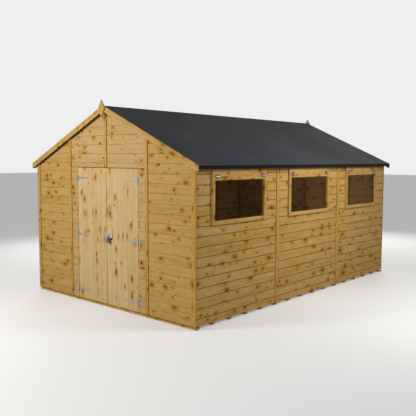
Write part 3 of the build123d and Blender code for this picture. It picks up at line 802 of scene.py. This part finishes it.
def roof_boards():
    """Boards down each slope, with their planed faces to the room."""
    profile = board_profile("roof_profile", ROOF_COURSE, INNER_GAP)
    across, down = math.cos(ROOF_ANGLE), math.sin(ROOF_ANGLE)
    for side, name in ((1, "right"), (-1, "left")):
        run = (side * across, 0, -down)
        into_room = (-side * down, 0, -across)
        board_panel(f"roof_boards_{name}", run, into_room, profile, ROOF_COURSE, 0, SAWN)


# Plain timbers


def dress(node, material, run=None):
    """A plain timber with its arrises eased, in the place of its solid."""
    shape = merged(NODES[node].data, SOLID_WELD)
    bmesh.ops.dissolve_limit(shape, angle_limit=FLAT_ANGLE, verts=shape.verts, edges=shape.edges)
    ease(shape, [edge for edge in shape.edges if edge.calc_face_angle(0) > SHARP_ANGLE], TRIM_ARRIS)
    mesh = meshed(f"{node}_timber", shape, material)
    mark_grain(mesh, node, run)
    return stand_for(node, "timber", mesh)


def trim():
    for node in ("corner_strips", "joint_strips"):
        dress(node, STRIP_PINE)
    for node in ("front_bargeboards", "back_bargeboards", "window_stiles", "window_rails", "window_headers"):
        dress(node, PINE)
    dress("finials", PINE, UP)


def framing():
    for node, slot in SLOT_OF.items():
        if slot == "sawn_softwood" and node not in BOARDED:
            dress(node, JOIST_PINE if node == "floor_joists" else SAWN)


# Pieces that keep their own shape


def coat(node, material):
    data = NODES[node].data
    data.materials.clear()
    data.materials.append(material)


def fittings():
    for node in ("hinge_plates", "left_door_straps", "right_door_straps", "hasp"):
        coat(node, ZINC)
    coat("staple", CATCH_ZINC)
    coat("padlock", BRIGHT)
    coat("window_hinges", DARKENED_LEAVES)
    coat("roof_felt", FELT)
    coat("window_panes", GLASS)


# Small pieces that the solids leave out


def solids(node):
    """The lowest and highest corner of each separate solid of a CAD node."""
    shape = merged(NODES[node].data, SOLID_WELD)
    shape.faces.index_update()
    boxes = []
    for faces in islands(shape):
        places = [corner.co for face in faces for corner in face.verts]
        boxes.append([
            Vector([pick(place[axis] for place in places) for axis in range(3)]) for pick in (min, max)
        ])
    shape.free()
    return boxes


def heads(name, body, slot, places, width, rise, material):
    """Screw or nail heads at pairs of a place and the way it faces."""
    mesh = bpy.data.meshes.new(name)
    mesh.from_pydata([place for place, facing in places], [], [])
    layer = mesh.attributes.new("facing", "FLOAT_VECTOR", "POINT")
    for value, (place, facing) in zip(layer.data, places):
        value.vector = facing
    domes = grown(name, mesh, HEADS, {"Width": width, "Rise": rise, "Material": material})
    return finished(name, domes, body, slot)


def hinge_screws():
    """Three screws in each strap and three in each jamb plate."""
    jamb = []
    for side, name in ((1, "left"), (-1, "right")):
        arm = []
        for low, high in solids(f"{name}_door_straps"):
            tip = high.x if side > 0 else low.x
            face = high.y - HINGE_PLATE
            arm += [((tip - side * back, face, (low.z + high.z) / 2), FRONT) for back in STRAP_SCREWS]
        heads(
            f"{name}_strap_screws", f"{name}_leaf", "galvanised_steel",
            arm, SCREW_WIDTH, SCREW_RISE, ZINC,
        )
        for low, high in solids("hinge_plates"):
            outer = low.x if low.x < 0 else high.x
            if outer * side < 0:
                jamb += [
                    ((outer + side * PLATE_INSET, high.y - HINGE_PLATE, (low.z + high.z) / 2 + up), FRONT)
                    for up in PLATE_SCREWS
                ]
    heads("jamb_plate_screws", "shed", "galvanised_steel", jamb, SCREW_WIDTH, SCREW_RISE, ZINC)


def lock_screws():
    """Four screws in the hasp and two rivets in the catch."""
    low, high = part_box("hasp")
    places = [
        ((low.x + HASP_INSET + along, low.y, low.z + up), FRONT)
        for along in (0, HASP_STEP) for up in (HASP_INSET, high.z - low.z - HASP_INSET)
    ]
    heads("hasp_screws", "left_leaf", "galvanised_steel", places, SCREW_WIDTH, SCREW_RISE, ZINC)
    low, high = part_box("staple")
    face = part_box("left_door_boards")[0].y - CATCH_DEPTH
    places = [
        ((high.x - HASP_INSET, face, low.z + up), FRONT)
        for up in (HASP_INSET, high.z - low.z - HASP_INSET)
    ]
    heads("catch_rivets", "right_leaf", "galvanised_steel", places, SCREW_WIDTH, SCREW_RISE, CATCH_ZINC)


def window_screws():
    """Four small screws in the leaves of each window hinge."""
    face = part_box("window_stiles")[1].x + WINDOW_LEAF
    places = []
    for low, high in solids("window_hinges"):
        middle = (low + high) / 2
        for up in (-WINDOW_SCREW_UP, WINDOW_SCREW_UP):
            for out in (-WINDOW_SCREW_OUT, WINDOW_SCREW_OUT):
                places.append(((face, middle.y + out, middle.z + up), RIGHT))
    heads(
        "window_hinge_screws", "shed", "bright_steel",
        places, SCREW_WIDTH * WINDOW_SCREW_SHARE, SCREW_RISE * WINDOW_SCREW_SHARE, BRIGHT,
    )


def window_knuckles():
    """A near-white sleeve round the pin of each window hinge: a painted highlight along the barrel."""
    shape = bmesh.new()
    for low, high in solids("window_hinges"):
        middle = (low + high) / 2
        pin = (high.x - WINDOW_KNUCKLE, middle.y, middle.z)
        bmesh.ops.create_cone(
            shape, cap_ends=True, segments=SLEEVE_SEGMENTS, radius1=WINDOW_SLEEVE,
            radius2=WINDOW_SLEEVE, depth=high.y - low.y - 2 * SLEEVE_SHORT,
            matrix=Matrix.Translation(pin) @ Matrix.Rotation(math.pi / 2, 4, "X"),
        )
    finished(
        "window_hinge_sleeves", meshed("window_hinge_sleeves", shape, HIGHLIGHT_KNUCKLE), "shed", "bright_steel"
    )


def wall_nails():
    """Two nails through each board into each upright behind it."""
    walls = {
        "front_wall_frame": (0, -1), "back_wall_frame": (0, 1),
        "left_wall_frame": (-1, 0), "right_wall_frame": (1, 0),
    }
    half_width, half_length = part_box("right_wall_back")[1].x, -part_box("front_wall_left")[0].y
    places = []
    for node, facing in walls.items():
        for bottom, top in solids(node):
            if top.z - bottom.z < SHORTEST_UPRIGHT:
                continue
            x = facing[0] * half_width if facing[0] else (bottom.x + top.x) / 2
            y = facing[1] * half_length if facing[1] else (bottom.y + top.y) / 2
            for row in range(1, int((top.z - NAIL_HEADROOM) / COURSE)):
                for part in NAIL_PARTS:
                    places.append(((x, y, (row + part) * COURSE), Vector((*facing, 0))))
    heads("wall_nails", "shed", "galvanised_steel", places, NAIL_WIDTH, NAIL_RISE, ZINC)


def door_nails():
    """Two nails through each door board into each ledge."""
    for name in ("left", "right"):
        low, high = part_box(f"{name}_door_boards")
        course = (high.x - low.x) / DOOR_BOARDS
        ledges = [box for box in solids(f"{name}_door_bracing") if box[1].z - box[0].z < TALLEST_LEDGE]
        places = [
            ((low.x + (board + part) * course, low.y, (bottom.z + top.z) / 2 + up), FRONT)
            for bottom, top in ledges for board in range(DOOR_BOARDS) for part, up in DOOR_NAILS
        ]
        heads(
            f"{name}_door_nails", f"{name}_leaf", "galvanised_steel",
            places, NAIL_WIDTH, NAIL_RISE, ZINC,
        )


def plate(name, body, low, high, arris, material):
    """A small plain plate with eased arrises, between two corners."""
    shape = bmesh.new()
    bmesh.ops.create_cube(shape, size=1)
    low, high = Vector(low), Vector(high)
    size = high - low
    for corner in shape.verts:
        corner.co = Vector([(low[i] + high[i]) / 2 + corner.co[i] * size[i] for i in range(3)])
    ease(shape, shape.edges[:], arris)
    return finished(name, meshed(name, shape, material), body, "galvanised_steel")


def bolt_plates():
    """Small plates at the meeting edge of the left leaf, level with its lower and upper straps."""
    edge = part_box("left_door_boards")[1].x
    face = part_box("left_door_boards")[0].y
    straps = sorted((low.z + high.z) / 2 for low, high in solids("left_door_straps"))
    for name, height in (("lower", straps[0]), ("upper", straps[-1])):
        low = (edge - BOLT_PLATE[0], face - BOLT_PLATE[1], height - BOLT_PLATE[2] / 2)
        high = (edge - BOLT_INSET, face, height + BOLT_PLATE[2] / 2)
        plate(f"{name}_bolt_plate", "left_leaf", low, high, BOLT_PLATE_ARRIS, ZINC)


def catch_back_plate():
    """A near-black plate under the catch, painted shadow: it stands for the shadow that the catch casts on
    the leaf.
    """
    low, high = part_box("staple")
    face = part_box("right_door_boards")[0].y
    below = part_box("hasp")[0].z
    plate(
        "catch_back_plate", "right_leaf",
        (low.x + SHADOW_PLATE[0], face - SHADOW_PLATE[1], below - SHADOW_PLATE[2]),
        (high.x - SHADOW_PLATE[0], face, below + SHADOW_PLATE[0]), SHADOW_PLATE_ARRIS, SHADOW_BLACK,
    )


# Stage


def seen_rays(tree):
    """One where the camera, a gloss or a pane looks at the surface, and zero for its light on things."""
    rays = put(tree, "ShaderNodeLightPath").outputs
    shiny = put(tree, MATH, {0: rays["Is Glossy Ray"], 1: rays["Is Transmission Ray"]}, operation="MAXIMUM")
    return put(tree, MATH, {0: rays["Is Camera Ray"], 1: shiny}, operation="MAXIMUM")


def stage():
    """A matt floor that looks pale and throws back little light."""
    material, tree, shader = new_material("studio_floor_paint")
    seen = seen_rays(tree)
    paint = put(tree, MIX, {
        SHARE: seen, UNDER: colour(FLOOR_BOUNCE), OVER: colour(FLOOR_SHOWN),
    }, data_type="RGBA")
    tree.links.new(paint.outputs[BLEND], shader.inputs["Base Color"])
    shader.inputs["Roughness"].default_value = FLOOR_ROUGHNESS
    shader.inputs["Specular IOR Level"].default_value = FLOOR_SPECULAR
    shader.inputs["Emission Color"].default_value = WHITE
    lift = put(tree, MATH, {0: seen, 1: FLOOR_LIFT}, operation="MULTIPLY")
    tree.links.new(lift.outputs[0], shader.inputs["Emission Strength"])
    ground = bmesh.new()
    bmesh.ops.create_grid(ground, x_segments=1, y_segments=1, size=FLOOR_REACH)
    floor = bpy.data.objects.new("studio_floor", meshed("studio_floor", ground, material))
    bpy.context.scene.collection.objects.link(floor)


def lights():
    world = bpy.data.worlds.new("studio")
    bpy.context.scene.world = world
    world.use_nodes = True
    tree = world.node_tree
    background = tree.nodes["Background"]
    strength = put(tree, RANGE, {"Value": seen_rays(tree), "To Min": WORLD_LIGHT, "To Max": WORLD_SHOWN})
    background.inputs["Color"].default_value = WHITE
    tree.links.new(strength.outputs[0], background.inputs["Strength"])
    for name, place, aim, size, power in LAMPS:
        data = bpy.data.lights.new(name, "AREA")
        data.shape = "DISK"
        data.size = size
        data.energy = power
        lamp = bpy.data.objects.new(name, data)
        lamp.location = place
        lamp.rotation_euler = (Vector(aim) - Vector(place)).to_track_quat("-Z", "Y").to_euler()
        lamp.visible_camera = False
        bpy.context.scene.collection.objects.link(lamp)


def camera():
    data = bpy.data.cameras.new("camera")
    data.lens = CAMERA_LENS
    data.sensor_width = CAMERA_SENSOR
    eye = bpy.data.objects.new("camera", data)
    turn = Euler((math.pi / 2 - CAMERA_PITCH, 0, CAMERA_YAW)).to_matrix()
    turn = turn @ Matrix.Rotation(CAMERA_ROLL, 3, "Z")
    eye.location = CAMERA_PLACE
    eye.rotation_euler = turn.to_euler()
    bpy.context.scene.collection.objects.link(eye)
    bpy.context.scene.camera = eye


wall_boards()
door_boards()
floor_boards()
roof_boards()
trim()
framing()
fittings()
hinge_screws()
lock_screws()
window_screws()
window_knuckles()
wall_nails()
door_nails()
bolt_plates()
catch_back_plate()
for profile in PROFILES:
    bpy.data.objects.remove(profile)

stage()
lights()
camera()
bpy.context.scene.view_settings.view_transform = "Standard"
